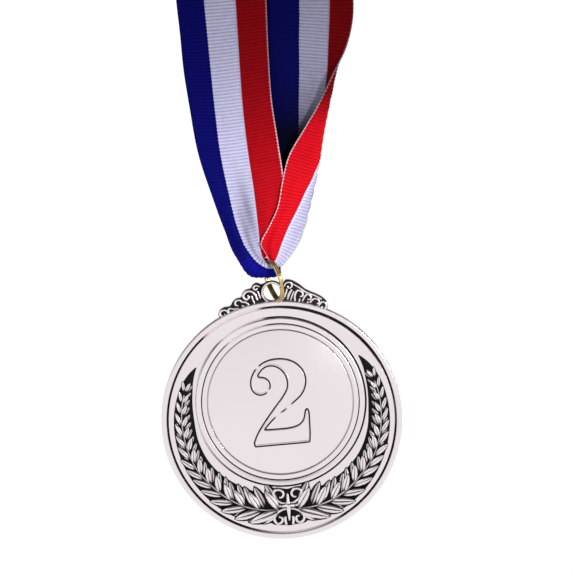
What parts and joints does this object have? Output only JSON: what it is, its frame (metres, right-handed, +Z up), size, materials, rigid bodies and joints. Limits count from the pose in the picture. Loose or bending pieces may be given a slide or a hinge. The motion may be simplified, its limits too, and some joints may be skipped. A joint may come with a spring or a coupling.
{
  "type": "hanging award medal",
  "caption": "Round cast award medal with a laurel wreath and a figure two, on a split ring and a striped neck ribbon.",
  "frame": {"origin": "inside top of the ribbon's upper fold, where a peg, hook or hand holds the neck loop", "axes": "+Z up along the hanging object, the medal's face looks along -Y, +X to the viewer's right"},
  "size_m": [0.065, 0.0202, 0.1552],
  "materials": {
    "antique_silver": "polished plate with dark oxidised recesses",
    "polished_silver": "bright satin plate",
    "ring_brass": "polished wire",
    "ribbon_weave": "ribbed grosgrain weave in blue, white and red stripes",
    "band_elastic": "fine woven elastic",
    "stitch_thread": "twisted thread"
  },
  "bodies": {
    "ribbon": {"ribbon_left_strand": "ribbon_weave", "ribbon_right_strand": "ribbon_weave", "ribbon_bight": "ribbon_weave", "ribbon_hank": "ribbon_weave", "hank_band": "band_elastic", "seam_stitches": "stitch_thread"},
    "ring": {"split_ring": "ring_brass"},
    "medal": {"medal_casting": "antique_silver", "numeral_disc": "polished_silver"}
  },
  "joints": [
    {"name": "ring_swing", "type": "hinge", "parent": "ribbon", "child": "ring", "pos_m": [-0.00049, -0.0066, -0.07772], "axis": [0, 1, 0], "range_deg": [-25, 25], "deforming": ["ribbon_bight"]},
    {"name": "medal_rock", "type": "hinge", "parent": "ring", "child": "medal", "pos_m": [0.00075, -0.0066, -0.08338], "axis": [0.9289, 0.309, 0.2042], "range_deg": [-35, 20]}
  ]
}
